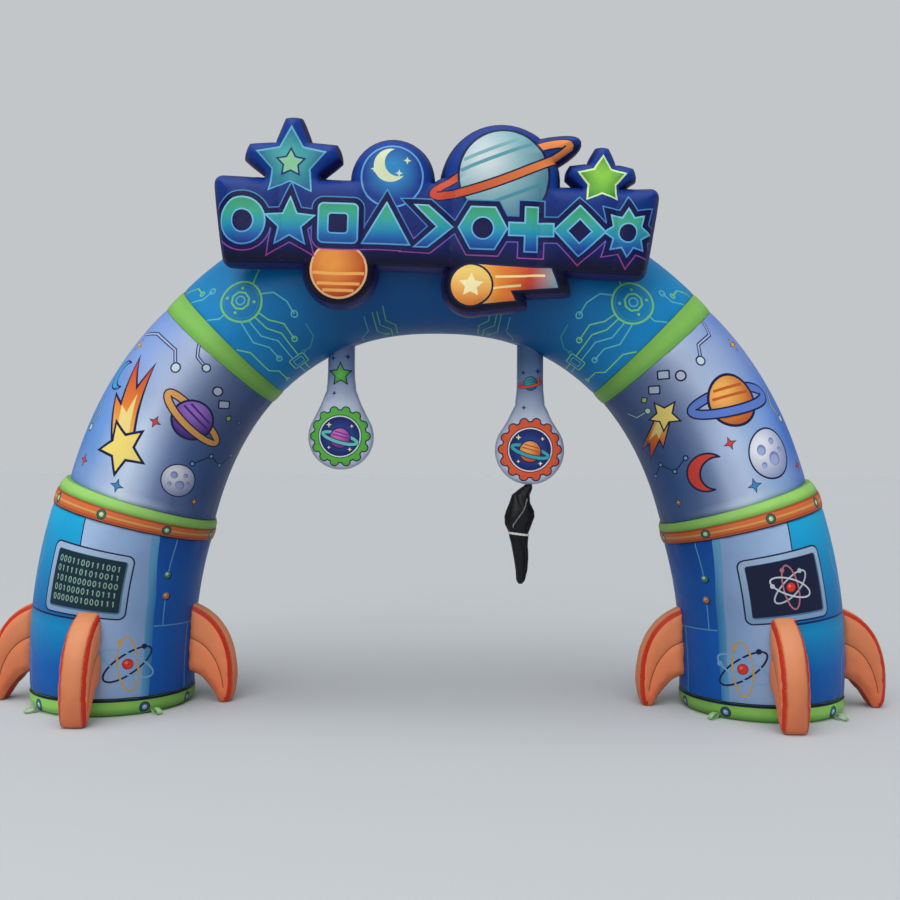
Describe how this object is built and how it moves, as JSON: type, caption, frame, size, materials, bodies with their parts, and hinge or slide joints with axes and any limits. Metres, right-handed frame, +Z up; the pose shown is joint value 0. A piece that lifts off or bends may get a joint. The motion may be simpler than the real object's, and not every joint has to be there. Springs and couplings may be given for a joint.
{
  "type": "inflatable arch",
  "caption": "Inflatable walk-through arch: round tube crown on finned, rocket-like legs, with a cut-out sign across the front and drop-shaped pendants below.",
  "frame": {"origin": "on the floor, midway between the two legs and midway front to back", "axes": "+Z up, +X to the right as seen from the front, and the front with the sign faces -Y"},
  "size_m": [6.592, 1.812, 4.108],
  "materials": {
    "blue_cloth": "printed coated polyester, satin",
    "crown_cloth": "printed coated polyester, satin",
    "silver_cloth": "printed coated polyester, satin",
    "green_cloth": "printed coated polyester, satin",
    "orange_cloth": "printed coated polyester, satin",
    "fin_cloth": "coated polyester, satin",
    "sign_cloth": "printed coated polyester, satin",
    "pendant_cloth": "printed coated polyester, satin",
    "black_cloth": "slack ripstop nylon, matte",
    "white_tape": "woven tape, matte",
    "loop_webbing": "woven webbing, matte"
  },
  "bodies": {
    "root": {"base_band_left": "green_cloth", "drum_left": "blue_cloth", "collar_left": "orange_cloth", "collar_trim_left": "green_cloth", "cone_left": "silver_cloth", "crown_trim_left": "green_cloth", "fin_left_front": "fin_cloth", "fin_left_back": "fin_cloth", "fin_left_inner": "fin_cloth", "fin_left_outer": "fin_cloth", "tie_loop_left_outer_front": "loop_webbing", "tie_loop_left_outer_back": "loop_webbing", "tie_loop_left_inner_front": "loop_webbing", "tie_loop_left_inner_back": "loop_webbing", "base_band_right": "green_cloth", "drum_right": "blue_cloth", "collar_right": "orange_cloth", "collar_trim_right": "green_cloth", "cone_right": "silver_cloth", "crown_trim_right": "green_cloth", "fin_right_front": "fin_cloth", "fin_right_back": "fin_cloth", "fin_right_inner": "fin_cloth", "fin_right_outer": "fin_cloth", "tie_loop_right_outer_front": "loop_webbing", "tie_loop_right_outer_back": "loop_webbing", "tie_loop_right_inner_front": "loop_webbing", "tie_loop_right_inner_back": "loop_webbing", "crown": "crown_cloth", "sign": "sign_cloth", "pendant_left": "pendant_cloth", "pendant_right": "pendant_cloth", "bundle": "black_cloth", "bundle_tie": "white_tape", "bundle_cord": "white_tape"}
  },
  "joints": []
}
